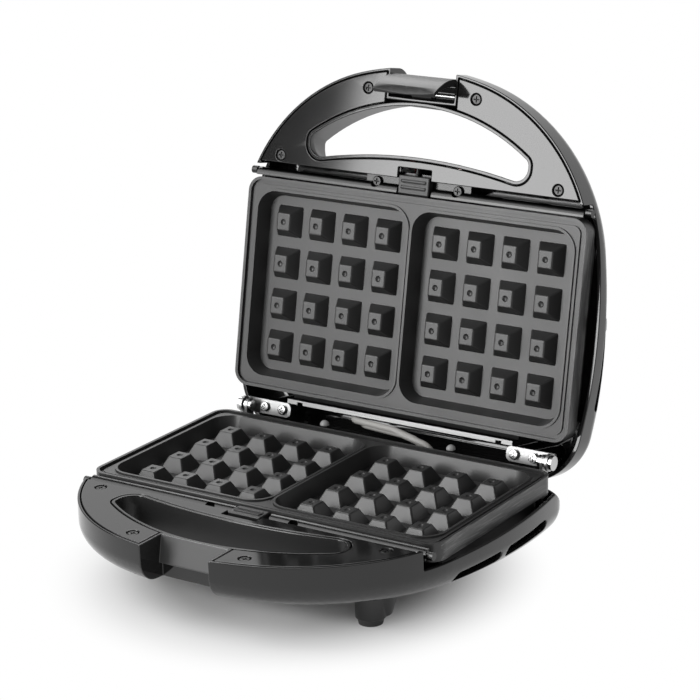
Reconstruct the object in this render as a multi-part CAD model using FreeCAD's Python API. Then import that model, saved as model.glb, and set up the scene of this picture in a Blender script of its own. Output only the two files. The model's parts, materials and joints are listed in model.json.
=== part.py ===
import FreeCAD, Part
import math
import os

V = FreeCAD.Vector
os.makedirs("parts", exist_ok=True)

# Waffle plate, which the rest is set out from. The plates meet on the parting plane.
PLATE_LENGTH = 227.0
PLATE_WIDTH = 126.0
PLATE_END = PLATE_LENGTH / 2
PLATE_SIDE = PLATE_WIDTH / 2
PLATE_CORNER = 9.0
PLATE_GAP = 0.6
SKIRT_HEIGHT = 10.2
SKIRT_WALL = 2.6
DECK = 3.4
RIM_BEAD = 1.8
CHANNEL_WIDTH = 2.4
CHANNEL_DEPTH = 1.8
LEDGE_DROP = 0.9
PAN_BEAD = 1.5
PAN_BORDER = 7.6
PAN_DIVIDER = 3.6
PAN_DEPTH = 10.0
PAN_SLOPE = 2.9
PAN_CORNER = 12.0
PAN_WALL = 2.6
PAN_HALF_X = (PLATE_END - PAN_BORDER - PAN_DIVIDER / 2) / 2
PAN_HALF_Y = PLATE_SIDE - PAN_BORDER
PAN_MID_X = PAN_HALF_X + PAN_DIVIDER / 2

# Raised pyramids in each pan, in rows with a valley between.
PYRAMID_ROWS = 4
PYRAMID_DROP = 2.0
PYRAMID_EDGE_R = 1.2
PAN_EDGE = (12.1, 10.4)
VALLEY = (5.7, 6.6)
PYRAMID_TAPER = (8.3, 8.5)
PITCH_X = (2 * PAN_HALF_X - PAN_EDGE[0]) / PYRAMID_ROWS
PITCH_Y = (2 * PAN_HALF_Y - PAN_EDGE[1]) / PYRAMID_ROWS
PYRAMID_FOOT = (PITCH_X - VALLEY[0], PITCH_Y - VALLEY[1])
PYRAMID_TOP = (PYRAMID_FOOT[0] - PYRAMID_TAPER[0], PYRAMID_FOOT[1] - PYRAMID_TAPER[1])
DIMPLE_R = 2.2
DIMPLE_DEPTH = 1.0

# The lid stands open about the hinge axis behind the plates.
PARTING_HEIGHT = 50.0
LID_OPEN_DEG = 100.9
HINGE_Y = PLATE_SIDE + 11.65

# Housing outline seen from above: front, corner, side and rear corner arcs run into each other.
HANDLE_REACH = 75.5
FRONT_REACH = PLATE_SIDE + HANDLE_REACH
LID_SHORT = 2.2
FRONT_R = 155.0
CORNER_R = 105.0
SIDE_R = 320.0
SIDE_MARGIN = 7.5
HALF_WIDTH = PLATE_END + SIDE_MARGIN
WIDEST_Y = 5.0
REAR_REACH = PLATE_SIDE + 27.0
REAR_R = 34.0
WALL = 2.4
RIM_WALL = 1.4

# Housing depth below the parting plane: the bottom tilts, deeper at the rear.
MID_DEPTH = 32.5
BOTTOM_SLOPE = 0.065
BOTTOM_FILLET = 14.0
COVER_DROP = 1.0
RIM_STEP_Y = -PLATE_SIDE - 7.6
SIDE_RIM_DROP = 12.0
BASE_REAR_RIM_Y = PLATE_SIDE + 9.0
BASE_REAR_RIM_DROP = 21.0
RIM_TAPER_Y = PLATE_SIDE - 3.0
LID_REAR_RIM_Y = PLATE_SIDE + 17.0
LID_REAR_RIM_DROP = 4.0
LID_REAR_RIM_HALF = PLATE_END - 19.5

# Crescent finger hole in each handle, with ends that flare out below.
HANDLE_BAR = 21.8
HOLE_FRONT = FRONT_REACH - HANDLE_BAR
HOLE_FRONT_R = 122.8
HOLE_REAR = PLATE_SIDE + 22.5
HOLE_REAR_R = 328.0
HOLE_HALF = HALF_WIDTH - 48.0
HOLE_FRONT_FILLET = 5.0
HOLE_REAR_FILLET = 8.5
HOLE_FLARE = 7.0
FLARE_TOP_Z = -5.0
FLARE_LOW_Z = -31.0
TUBE_WALL = 2.0

# Latch recess in the lid's handle front, an undercut V in section.
NOTCH_HALF = 21.8
NOTCH_EDGE = HOLE_FRONT + 4.0
NOTCH_DEEP = NOTCH_EDGE - 3.6
NOTCH_DEEP_Z = -14.7
NOTCH_LIP = NOTCH_EDGE + 4.4
NOTCH_FLOOR_Z = -18.8
NOTCH_WALL = 1.5
NOTCH_UNDERCUT = 4.8
NOTCH_CHAMFER = 3.0
NOTCH_RUNOUT = 9.0
NOTCH_RUNOUT_DROP = 11.2

# Latch keeper in the base's handle front: a ramp down to a nose that the hook goes under.
KEEPER_EDGE = HOLE_FRONT + 1.6
KEEPER_LEAN = 2.6
KEEPER_NOSE_Z = -15.4
KEEPER_NOSE = 1.2
KEEPER_POCKET = (2.6, 0.4)

# Handle cover panel and its screws.
COVER_THICK = 2.5
COVER_GROOVE = 0.7
COVER_REAR_Y = -PLATE_SIDE - 9.6
COVER_SEAT_CLEAR = 0.4
COVER_SCREWS = ((36.0, 14.3 - FRONT_REACH), (HALF_WIDTH - 28.0, -PLATE_SIDE - 16.2))

# Tray under each plate, with the heater and reflector in it.
TRAY_INSET = 5.2
TRAY_SHEET = 0.8
TRAY_FLANGE_Z = -10.8
TRAY_FLANGE_INSET = 1.0
TRAY_FLOOR_Z = -22.0
TRAY_SCREW = (PLATE_END - 18.5, PLATE_SIDE - 15.0)
REFLECTOR_SHEET = 0.5
REFLECTOR_RIM = 3.0
REFLECTOR_GAP = 0.6
HEATER_R = 3.2
HEATER_Z = -16.4
HEATER_X = PLATE_END - 29.5
HEATER_Y = PLATE_SIDE - 23.0
HEATER_LEAD_X = 14.0
HEATER_BEND_R = 16.0
HEATER_END_Y = PLATE_SIDE + 3.0
HEATER_CLEAR = 0.5
SADDLE_HALF = 5.0

# Bright rail along the plate's front edge and strip along its rear edge.
RAIL_TOP = (-PLATE_SIDE - 1.0, -1.6)
RAIL_CREST = (-PLATE_SIDE - 3.6, -2.4)
RAIL_FACE = (-PLATE_SIDE - 5.4, -4.8)
RAIL_HALF = PLATE_END - 3.9
RAIL_GAP_HALF = 11.6
RAIL_CURL_R = 2.3
RAIL_END = PLATE_END + 0.5
RAIL_SCREW = (27.2, -PLATE_SIDE - 5.8)
RAIL_FLANGE_HALF = RAIL_SCREW[0] + 7.8
RAIL_FLANGE_Y = -PLATE_SIDE - 12.6
RAIL_FLANGE_Z = -6.4
RAIL_SHEET = 1.0
STRIP_HALF = PLATE_END - 36.5
STRIP_Z = -5.0
STRIP_Y = (PLATE_SIDE + 3.0, PLATE_SIDE + 6.5)
LID_STRIP_Y = (PLATE_SIDE + 4.6, PLATE_SIDE + 7.2)
STRIP_SHEET = 0.8
STRIP_LOW_Z = -20.0
STRIP_TRAY_GAP = 0.4
STRIP_NOTCH_IN = 9.0

# Release catch in front of each plate, with a thumb roof over its spring.
CATCH_HALF = 10.2
CATCH_Y = (-PLATE_SIDE - 11.5, -PLATE_SIDE - 0.8)
CATCH_TOP_Z = -0.9
CATCH_RIDGE = 0.5
CATCH_EDGE_R = 0.7
CATCH_POCKET = 1.0
CATCH_ROOM = 4.4
NOSE_HALF = 9.0
NOSE_REACH = 1.6
NOSE_HEIGHT = 2.4
NOSE_CLEAR = 0.8
SPRING_R = 1.3
SPRING_WIRE = 0.6
SPRING_Z = -4.9
SPRING_SEAT_Y = CATCH_Y[0] - 5.1
SPRING_SEAT_WALL = 1.8
SPRING_SEAT_HALF = 5.0

# Hinge.
ARM_X = (PLATE_END - 39.5, PLATE_END - 8.5)
ARM_Y = (HINGE_Y - 4.35, HINGE_Y + 4.35)
ARM_Z = -4.5
HINGE_SHEET = 1.6
ARM_SCREWS = (ARM_X[0] + 5.5, ARM_X[0] + 18.0)
ARM_EYE_R = 5.0
ARM_EAR_HALF = 3.5
ARM_CORNER_R = 3.0
BRACKET_X = ARM_X[1] - 5.0
BRACKET_EYE_R = 4.0
BRACKET_BACK = 3.0
BRACKET_FOOT_X = BRACKET_X - 16.0
BRACKET_FOOT_Z = -22.0
BRACKET_SCREW_X = BRACKET_X - 9.0
PIN_R = 2.0
PIN_HEAD_R = 4.2
PIN_HEAD = 2.0
RUN_CLEAR = 0.06
SIDE_CLEAR = 0.2

# Latch hook, drawn swung out a little, and its pin. Its profile is (out from the pivot, towards the base).
LATCH_SIDE_CLEAR = 1.4
LATCH_PIVOT_OUT = 3.4
LATCH_PIVOT_Z = -4.4
LATCH_BOSS_R = 3.6
LATCH_BOSS_HALF = 6.5
LATCH_PIN_R = 1.5
LATCH_TOP = (9.8, -2.6)
LATCH_BULGE = (8.0, 12.4)
LATCH_LIP = (1.6, 23.8)
LATCH_TIP = (-0.7, 21.8)
LATCH_BARB = (1.4, 21.4)
LATCH_THROAT = (4.8, 11.0)
LATCH_ROOT = (5.6, 0.4)
LATCH_HEEL = (5.2, -4.0)
LATCH_SCOOP = ((0.0, 22.4), (5.7, 19.4))
LATCH_SCOOP_R = 100.0

# Feet, pegs, vents, gland and lamps.
FOOT_X = HALF_WIDTH - 46.7
FOOT_Y = (-PLATE_SIDE - 3.0, PLATE_SIDE - 1.0)
FOOT_R = 7.3
FOOT_TIP_R = 6.6
FOOT_TAPER = 3.0
FOOT_POCKET_Z = -38.0
BOSS_TOP_R = 13.5
BOSS_TIP_R = 8.4
BOSS_TIP_Z = -46.5
BOSS_SHIFT = 6.0
PEG = (43.2, STRIP_Y[1])
PEG_R = 2.75
PEG_TOP_Z = 1.5
PEG_CLEAR = 0.5
VENT_END = PLATE_SIDE - 17.0
VENT_GAP = (-6.0, -1.0)
VENT_Y = ((-VENT_END, VENT_GAP[0]), (VENT_GAP[1], VENT_END))
VENT_Z = (-27.5, -21.0)
GLAND_X = 62.0
GLAND_Z = -29.0
GLAND_R = 5.0
GLAND_BORE_R = 3.2
GLAND_FLANGE = 2.0
GLAND_DEPTH = 8.0
LAMP = (16.0, -PLATE_SIDE - 13.0)
LAMP_LENGTH = 7.0
LENS_R = 3.0
LENS_PROUD = 0.6
LENS_CLEAR = 0.1
LENS_FLANGE = 1.2

# Wiring in the base and the two sleeves that carry the wires over to the lid.
THERMOSTAT = (0.0, PLATE_SIDE - 23.0)
THERMOSTAT_R = 8.0
THERMOSTAT_HEIGHT = 6.5
FUSE_X = (24.0, 40.0)
FUSE_Y = PLATE_SIDE - 21.0
FUSE_R = 2.0
TERMINAL_HALF = 12.0
TERMINAL_Y = (PLATE_SIDE, PLATE_SIDE + 12.0)
TERMINAL_TOP_Z = -24.0
SLEEVE_R = 2.0
SLEEVE_BEND_R = 9.0
SLEEVE_START = (31.0, HINGE_Y - 2.25, -22.0)
SLEEVE_RISE = (29.0, HINGE_Y - 2.25, -4.0)
SLEEVE_OVER = (8.0, HINGE_Y - 0.65, 0.0)
SLEEVE_BACK = (-22.0, HINGE_Y + 4.85, -0.8)
SLEEVE_END = (-30.0, HINGE_Y + 17.35, -2.5)
SLEEVE_OFFSET = (-7.0, 0.8, 1.6)

# Screws, their posts and holes.
SCREW_HEAD_R = 3.0
SCREW_HEAD = 1.8
SCREW_R = 1.5
SCREW_LENGTH = 8.0
SCREW_HOLE = 9.0
SHORT_SCREW = 2.6
SCREW_CLEAR = 0.2
HEAD_CLEAR = 0.4
HEAD_SINK = 0.4
POST_R = 4.2

# Far reach of cutting shapes, past the whole object.
FAR = 2 * FRONT_REACH

# Places worked out from the values above.
COVER_SEAT_Z = -COVER_DROP - COVER_THICK
TRAY_UNDER_Z = TRAY_FLOOR_Z - TRAY_SHEET
RAIL_UNDER_Z = RAIL_FLANGE_Z - RAIL_SHEET
LATCH_PIVOT_Y = LID_SHORT - NOTCH_EDGE - LATCH_PIVOT_OUT
LATCH_HALF = NOTCH_HALF - LATCH_SIDE_CLEAR
TRAY_SCREWS = [(sx * TRAY_SCREW[0], sy * TRAY_SCREW[1]) for sx in (1, -1) for sy in (1, -1)]
RAIL_SCREWS = [(s * RAIL_SCREW[0], RAIL_SCREW[1]) for s in (1, -1)]
ARM_SCREW_POINTS = [(s * x, HINGE_Y) for x in ARM_SCREWS for s in (1, -1)]
BRACKET_SCREW_POINTS = [(s * BRACKET_SCREW_X, HINGE_Y) for s in (1, -1)]


def box(x0, x1, y0, y1, z0, z1):
    return Part.makeBox(x1 - x0, y1 - y0, z1 - z0, V(x0, y0, z0))


def rod(x, y, z0, z1, r):
    return Part.makeCylinder(r, z1 - z0, V(x, y, z0))


def rod_x(x0, x1, y, z, r):
    return Part.makeCylinder(r, x1 - x0, V(x0, y, z), V(1, 0, 0))


def rod_y(x, y0, y1, z, r):
    return Part.makeCylinder(r, y1 - y0, V(x, y0, z), V(0, 1, 0))


def flip(shape):
    return shape.mirror(V(0, 0, 0), V(1, 0, 0))


def pair(shape):
    return [shape, flip(shape)]


def join(shapes):
    return shapes[0].multiFuse(shapes[1:]).removeSplitter()


def arc(centre, r, start, end):
    middle = start + end
    middle.normalize()
    return Part.Arc(centre + start * r, centre + middle * r, centre + end * r).toShape()


def unit(a, b):
    d = b - a
    d.normalize()
    return d


def line(a, b):
    return Part.LineSegment(a, b).toShape()


def prism(edges, z0, z1):
    face = Part.Face(Part.Wire(Part.__sortEdges__(edges)))
    face.translate(V(0, 0, z0))
    return face.extrude(V(0, 0, z1 - z0))


def side_profile(points, half):
    # A closed outline given as (y, z), drawn out across the width.
    ring = [V(-half, y, z) for y, z in points]
    return Part.Face(Part.makePolygon(ring + ring[:1])).extrude(V(2 * half, 0, 0))


def rounded_wire(hx, hy, r, z, cx=0.0):
    edges = []
    for sx, sy in ((1, 1), (-1, 1), (-1, -1), (1, -1)):
        c = V(cx + sx * (hx - r), sy * (hy - r), z)
        ends = [V(sx, 0, 0), V(0, sy, 0)]
        edges.append(arc(c, r, ends[0], ends[1]))
    edges.append(line(V(cx + hx, hy - r, z), V(cx + hx, r - hy, z)))
    edges.append(line(V(cx - hx, hy - r, z), V(cx - hx, r - hy, z)))
    edges.append(line(V(cx + hx - r, hy, z), V(cx - hx + r, hy, z)))
    edges.append(line(V(cx + hx - r, -hy, z), V(cx - hx + r, -hy, z)))
    return Part.Wire(Part.__sortEdges__(edges))


def rounded(hx, hy, r, z0, z1, cx=0.0):
    return Part.Face(rounded_wire(hx, hy, r, z0, cx)).extrude(V(0, 0, z1 - z0))


def outline(inset, short):
    front = V(0, FRONT_R - FRONT_REACH + short, 0)
    side = V(HALF_WIDTH - SIDE_R, WIDEST_Y, 0)
    # The corner arc's centre lies where it runs into both the front and the side arc.
    a = FRONT_R - CORNER_R
    b = SIDE_R - CORNER_R
    gap = (side - front).Length
    along = (a * a - b * b + gap * gap) / (2 * gap)
    off = math.sqrt(a * a - along * along)
    d = unit(front, side)
    corner = front + d * along + V(-d.y, d.x, 0) * off
    rear_y = REAR_REACH - REAR_R
    rear = V(side.x + math.sqrt((SIDE_R - REAR_R) ** 2 - (rear_y - WIDEST_Y) ** 2), rear_y, 0)
    to_corner = unit(front, corner)
    to_side = unit(side, corner)
    to_rear = unit(side, rear)
    back = V(0, 1, 0)
    half = [
        arc(front, FRONT_R - inset, V(0, -1, 0), to_corner),
        arc(corner, CORNER_R - inset, to_corner, to_side),
        arc(side, SIDE_R - inset, to_side, to_rear),
        arc(rear, REAR_R - inset, to_rear, back),
        line(rear + back * (REAR_R - inset), V(0, REAR_REACH - inset, 0)),
    ]
    return half + [flip(e) for e in half]


def bottom_z(y, inset=0.0):
    return -(MID_DEPTH + BOTTOM_SLOPE * y) + inset * math.hypot(1, BOTTOM_SLOPE)


def tub(inset, short):
    # The housing's solid form, smaller by the inset.
    body = prism(outline(inset, short), -FAR / 2, -COVER_DROP + (1.0 if inset else 0.0))
    slope = [(-FAR, bottom_z(-FAR, inset)), (FAR, bottom_z(FAR, inset))]
    body = body.cut(side_profile(slope + [(FAR, -FAR), (-FAR, -FAR)], FAR))
    edges = []
    for e in body.Edges:
        middle = e.valueAt((e.FirstParameter + e.LastParameter) / 2)
        if abs(middle.z - bottom_z(middle.y, inset)) < 1e-4:
            edges.append(e)
    return body.makeFillet(BOTTOM_FILLET - inset, edges)


def crescent_wire(grow, short, z, flare=0.0):
    front = V(0, HOLE_FRONT_R - HOLE_FRONT + short, z)
    rear = V(0, HOLE_REAR_R - HOLE_REAR, z)
    rf = HOLE_FRONT_R + grow
    rr = HOLE_REAR_R - grow
    hx = HOLE_HALF + grow + flare
    yf = front.y - math.sqrt(rf * rf - hx * hx)
    yr = rear.y - math.sqrt(rr * rr - hx * hx)
    # The corner rounds shrink where the straight end is too short for them.
    round_f = HOLE_FRONT_FILLET + grow
    round_r = HOLE_REAR_FILLET + grow
    fit = min(1.0, (yr - yf) / (0.6 * round_f + 1.35 * round_r))
    f0 = V(-hx, yf, z)
    f1 = V(hx, yf, z)
    r0 = V(-hx, yr, z)
    r1 = V(hx, yr, z)
    edges = [
        Part.Arc(f0, V(0, front.y - rf, z), f1).toShape(),
        line(f1, r1),
        Part.Arc(r1, V(0, rear.y - rr, z), r0).toShape(),
        line(r0, f0),
    ]
    face = Part.Face(Part.Wire(edges))
    body = face.extrude(V(0, 0, 1))
    for y, r in ((yf, fit * round_f), (yr, fit * round_r)):
        picks = []
        for e in body.Edges:
            if abs(e.Length - 1) < 1e-6 and abs(e.CenterOfMass.y - y) < 0.01:
                picks.append(e)
        body = body.makeFillet(r, picks)
    low = [f for f in body.Faces if f.BoundBox.ZMax < z + 0.01]
    return low[0].OuterWire


def crescent(grow, short):
    straight = Part.Face(crescent_wire(grow, short, FLARE_TOP_Z)).extrude(V(0, 0, FAR / 8))
    wires = [crescent_wire(grow, short, FLARE_TOP_Z), crescent_wire(grow, short, FLARE_LOW_Z, HOLE_FLARE)]
    return straight.fuse(Part.makeLoft(wires, True, True))


def recess(points, grow, short):
    # A void from the handle front, given by a profile of (y, z).
    ring = [V(0, y + short, z) for y, z in points]
    face = Part.Face(Part.makePolygon(ring + ring[:1]))
    if grow:
        face = face.makeOffset2D(grow, 2)
    half = NOTCH_HALF + grow
    face.translate(V(-half, 0, 0))
    return face.extrude(V(2 * half, 0, 0))


def notch(grow, short):
    # The void the latch works in.
    above = 8.0
    low = NOTCH_FLOOR_Z - NOTCH_RUNOUT_DROP
    points = [
        (-FAR, above),
        (-NOTCH_EDGE, above),
        (-NOTCH_EDGE, -COVER_DROP),
        (-NOTCH_DEEP, NOTCH_DEEP_Z),
        (-NOTCH_DEEP - NOTCH_UNDERCUT, NOTCH_FLOOR_Z),
        (-NOTCH_LIP, NOTCH_FLOOR_Z),
        (-NOTCH_LIP - NOTCH_CHAMFER, NOTCH_FLOOR_Z - NOTCH_CHAMFER),
        (-NOTCH_LIP - NOTCH_RUNOUT, low),
        (-FAR, low),
    ]
    return recess(points, grow, short)


def keeper(grow):
    # The ramp leans out to its nose; the hook's tip goes into the pocket under it.
    above = 8.0
    nose = KEEPER_EDGE + KEEPER_LEAN
    under = KEEPER_NOSE_Z - KEEPER_NOSE
    points = [
        (-FAR, above),
        (-KEEPER_EDGE, above),
        (-KEEPER_EDGE, -COVER_DROP),
        (-nose, KEEPER_NOSE_Z),
        (-nose, under),
        (-nose + KEEPER_POCKET[0], under - KEEPER_POCKET[1]),
        (-nose + KEEPER_POCKET[0], -FAR),
        (-FAR, -FAR),
    ]
    return recess(points, grow, 0.0)


def post(x, y, top, r=POST_R):
    return rod(x, y, -FAR, top, r)


def screw(x, y, top, length):
    # Cross-head screw standing on its head's underside, pointing down.
    head = rod(x, y, top - SCREW_HEAD, top, SCREW_HEAD_R)
    rim = [e for e in head.Edges if abs(e.CenterOfMass.z - top) < 1e-6]
    head = head.makeFillet(0.6, rim)
    body = head.fuse(rod(x, y, top - SCREW_HEAD - length, top - SCREW_HEAD, SCREW_R))
    arm = SCREW_HEAD_R * 0.62
    slot = 0.4
    cross = box(x - arm, x + arm, y - slot, y + slot, top - 1.0, top + 1)
    cross = cross.fuse(box(x - slot, x + slot, y - arm, y + arm, top - 1.0, top + 1))
    return body.cut(cross)


def mirrored_points(points):
    return [(s * x, y) for x, y in points for s in (1, -1)]


def cover_screw_points(short):
    return mirrored_points([(x, y + short) for x, y in COVER_SCREWS])


def shell(is_lid):
    short = LID_SHORT if is_lid else 0.0
    outer = tub(0.0, short)
    inner = tub(WALL, short)
    body = outer.cut(inner)
    # Lower the rim beside and behind the plate.
    if is_lid:
        ends = box(LID_REAR_RIM_HALF, FAR, RIM_STEP_Y, FAR, -SIDE_RIM_DROP, FAR)
        cuts = pair(ends)
        cuts.append(box(-FAR, FAR, RIM_STEP_Y, LID_REAR_RIM_Y, -SIDE_RIM_DROP, FAR))
        cuts.append(box(-FAR, FAR, LID_REAR_RIM_Y - 1, FAR, -LID_REAR_RIM_DROP, FAR))
    else:
        cuts = [box(-FAR, FAR, RIM_STEP_Y, BASE_REAR_RIM_Y, -SIDE_RIM_DROP, FAR)]
        cuts.append(box(-FAR, FAR, BASE_REAR_RIM_Y - 1, FAR, -BASE_REAR_RIM_DROP, FAR))
        taper = [(RIM_TAPER_Y, 0), (RIM_TAPER_Y, -SIDE_RIM_DROP)]
        taper += [(BASE_REAR_RIM_Y, -BASE_REAR_RIM_DROP), (BASE_REAR_RIM_Y, 0)]
        cuts.append(side_profile(taper, FAR))
    body = body.cut(cuts)
    # A rebate in the handle's rim seats the cover.
    front = box(-FAR, FAR, -FAR, COVER_REAR_Y + COVER_SEAT_CLEAR, -FAR, FAR)
    body = body.cut(prism(outline(RIM_WALL, short), COVER_SEAT_Z, FAR).common(front))
    # Finger hole with its wall, then the latch recess or keeper with its housing.
    body = body.fuse(crescent(TUBE_WALL, short).common(outer)).cut(crescent(0.0, short))
    if is_lid:
        housing, void = notch(NOTCH_WALL, short), notch(0.0, short)
    else:
        housing, void = keeper(NOTCH_WALL), keeper(0.0)
    body = body.fuse(housing.common(outer)).cut(void)
    # Screw posts and the catch spring's seat, each with the place its screw goes in.
    posts = [(x, y, COVER_SEAT_Z) for x, y in cover_screw_points(short)]
    posts += [(x, y, RAIL_UNDER_Z) for x, y in RAIL_SCREWS]
    if is_lid:
        posts += [(x, y, ARM_Z - HINGE_SHEET) for x, y in ARM_SCREW_POINTS]
    else:
        posts += [(x, y, BRACKET_FOOT_Z - HINGE_SHEET) for x, y in BRACKET_SCREW_POINTS]
    adds = [post(x, y, top) for x, y, top in posts]
    holes = [rod(x, y, top - SCREW_HOLE, top, SCREW_R) for x, y, top in posts]
    adds += [post(x, y, TRAY_UNDER_Z) for x, y in TRAY_SCREWS]
    holes += [rod(x, y, TRAY_UNDER_Z - SHORT_SCREW, TRAY_UNDER_Z, SCREW_R) for x, y in TRAY_SCREWS]
    seat = SPRING_SEAT_HALF
    adds.append(box(-seat, seat, SPRING_SEAT_Y - SPRING_SEAT_WALL, SPRING_SEAT_Y, -FAR, COVER_SEAT_Z - 0.1))
    keep = outer
    if not is_lid:
        for x in (PEG[0], -PEG[0]):
            dome = Part.makeSphere(PEG_R, V(x, PEG[1], PEG_TOP_Z - PEG_R))
            adds.append(post(x, PEG[1], PEG_TOP_Z - PEG_R, PEG_R).fuse(dome))
        y0, y1 = PEG[1] - PEG_R, PEG[1] + PEG_R
        keep = outer.fuse(box(-PEG[0] - PEG_R, PEG[0] + PEG_R, y0, y1, -SIDE_RIM_DROP, PEG_TOP_Z))
    body = body.multiFuse([a.common(keep) for a in adds])
    if is_lid:
        holes.append(latch_pin())
        for x in (LAMP[0], -LAMP[0]):
            spot, out = lamp_spot(x)
            start = spot - out * WALL
            holes.append(Part.makeCylinder(LENS_R + LENS_CLEAR, 4 * WALL, start, out))
    else:
        holes.append(rod_y(GLAND_X, REAR_REACH - GLAND_DEPTH, REAR_REACH + 1, GLAND_Z, GLAND_R))
    for y0, y1 in VENT_Y:
        r = (VENT_Z[1] - VENT_Z[0]) / 2
        mid = (VENT_Z[0] + VENT_Z[1]) / 2
        inside = HALF_WIDTH - BOTTOM_FILLET
        slot = box(inside, FAR, y0 + r, y1 - r, VENT_Z[0], VENT_Z[1])
        slot = slot.multiFuse([rod_x(inside, FAR, y, mid, r) for y in (y0 + r, y1 - r)])
        holes += pair(slot)
    body = body.cut(holes)
    if not is_lid:
        bosses = []
        pockets = []
        for x in (FOOT_X, -FOOT_X):
            for y in FOOT_Y:
                toward = -1 if y > 0 else 1
                c = V(x, y + toward * BOSS_SHIFT, BOSS_TIP_Z)
                rise = bottom_z(c.y, WALL / 2) - BOSS_TIP_Z
                full = bottom_z(FOOT_Y[0]) - BOSS_TIP_Z
                top_r = BOSS_TIP_R + (BOSS_TOP_R - BOSS_TIP_R) * rise / full
                bosses.append(Part.makeCone(BOSS_TIP_R, top_r, rise, c))
                bosses.append(rod(x, y, BOSS_TIP_Z, bottom_z(y, WALL / 2), BOSS_TIP_R))
                pockets.append(rod(x, y, -FAR, FOOT_POCKET_Z, FOOT_R))
        body = body.multiFuse(bosses).cut(pockets)
    return body.removeSplitter()


def handle_cover(short):
    top = -COVER_DROP
    body = prism(outline(RIM_WALL + COVER_GROOVE, short), COVER_SEAT_Z, top)
    body = body.common(box(-FAR, FAR, -FAR, COVER_REAR_Y, -FAR, FAR))
    wide = NOTCH_HALF + NOTCH_WALL + COVER_GROOVE
    pocket = CATCH_HALF + CATCH_POCKET
    cuts = [
        crescent(TUBE_WALL + COVER_GROOVE, short),
        box(-wide, wide, -FAR, short - HOLE_FRONT, -FAR, FAR),
        box(-pocket, pocket, CATCH_Y[0] - CATCH_ROOM, 0, -FAR, FAR),
    ]
    for x, y in cover_screw_points(short):
        cuts.append(rod(x, y, -FAR, FAR, SCREW_R + SCREW_CLEAR))
        cuts.append(rod(x, y, top - HEAD_SINK - SCREW_HEAD, FAR, SCREW_HEAD_R + HEAD_CLEAR))
    return body.cut(cuts)


def pan_form(cx, grow, z_top, z_low, rim):
    # A pan's rounded tapered block; the walls lean in towards the floor.
    hx = PAN_HALF_X + grow
    hy = PAN_HALF_Y + grow
    wires = []
    for z in (z_top, z_low):
        lean = PAN_SLOPE * (rim - z) / PAN_DEPTH
        wires.append(rounded_wire(hx - lean, hy - lean, PAN_CORNER + grow - lean, z, cx))
    return Part.makeLoft(wires, True, True)


def pyramid(height):
    fx, fy = PYRAMID_FOOT[0] / 2, PYRAMID_FOOT[1] / 2
    tx, ty = PYRAMID_TOP[0] / 2, PYRAMID_TOP[1] / 2
    body = Part.makeWedge(-fx, 0, -fy, -ty, -tx, fx, height, fy, ty, tx)
    body.rotate(V(0, 0, 0), V(1, 0, 0), 90)
    picks = [e for e in body.Edges if max(v.Z for v in e.Vertexes) > height - 0.01]
    body = body.makeFillet(PYRAMID_EDGE_R, picks)
    ball = Part.makeSphere(DIMPLE_R, V(0, 0, height - DIMPLE_DEPTH + DIMPLE_R))
    return body.cut(ball)


def plate():
    rim = -PLATE_GAP / 2
    hx, hy = PLATE_END, PLATE_SIDE
    body = rounded(hx, hy, PLATE_CORNER, rim - SKIRT_HEIGHT, rim)
    w = SKIRT_WALL
    body = body.cut(rounded(hx - w, hy - w, PLATE_CORNER - w, rim - SKIRT_HEIGHT - 1, rim - DECK))
    cx = PAN_MID_X
    floor = rim - PAN_DEPTH
    wells = [pan_form(s * cx, PAN_WALL, rim - 1.2, floor - PAN_WALL, rim) for s in (1, -1)]
    body = body.multiFuse(wells)
    # Overflow channel and the lower ledge between it and the pan beads.
    a = RIM_BEAD
    b = RIM_BEAD + CHANNEL_WIDTH
    outer = rounded(hx - a, hy - a, PLATE_CORNER - a, rim - CHANNEL_DEPTH, rim + 1)
    ledge = rounded(hx - b, hy - b, PLATE_CORNER - b, rim - CHANNEL_DEPTH, rim + 1)
    channel = outer.cut(ledge)
    step = rounded(hx - b, hy - b, PLATE_CORNER - b, rim - LEDGE_DROP, rim + 1)
    for s in (1, -1):
        bead_x, bead_y, bead_r = PAN_HALF_X + PAN_BEAD, PAN_HALF_Y + PAN_BEAD, PAN_CORNER + PAN_BEAD
        step = step.cut(rounded(bead_x, bead_y, bead_r, rim - 2, rim + 2, s * cx))
    wells = [pan_form(s * cx, 0.0, rim + 1, floor, rim) for s in (1, -1)]
    body = body.cut([channel, step] + wells)
    # Raised pyramids with dimples.
    one = pyramid(PAN_DEPTH - PYRAMID_DROP)
    rows = []
    mid = (PYRAMID_ROWS - 1) / 2
    for s in (1, -1):
        for i in range(PYRAMID_ROWS):
            for j in range(PYRAMID_ROWS):
                copy = one.copy()
                copy.translate(V(s * cx + (i - mid) * PITCH_X, (j - mid) * PITCH_Y, floor))
                rows.append(copy)
    body = body.multiFuse(rows)
    # Notch in the front skirt for the release catch's nose, open below.
    wide = NOSE_HALF + NOSE_CLEAR
    deep = CATCH_Y[1] + NOSE_REACH + 0.4
    high = RAIL_FLANGE_Z + SIDE_CLEAR + NOSE_HEIGHT + NOSE_CLEAR
    return body.cut(box(-wide, wide, -hy - 1, deep, -FAR, high)).removeSplitter()


def heater_holes():
    return [rod_y(s * HEATER_LEAD_X, 0, FAR, HEATER_Z, HEATER_R + HEATER_CLEAR) for s in (1, -1)]


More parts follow.
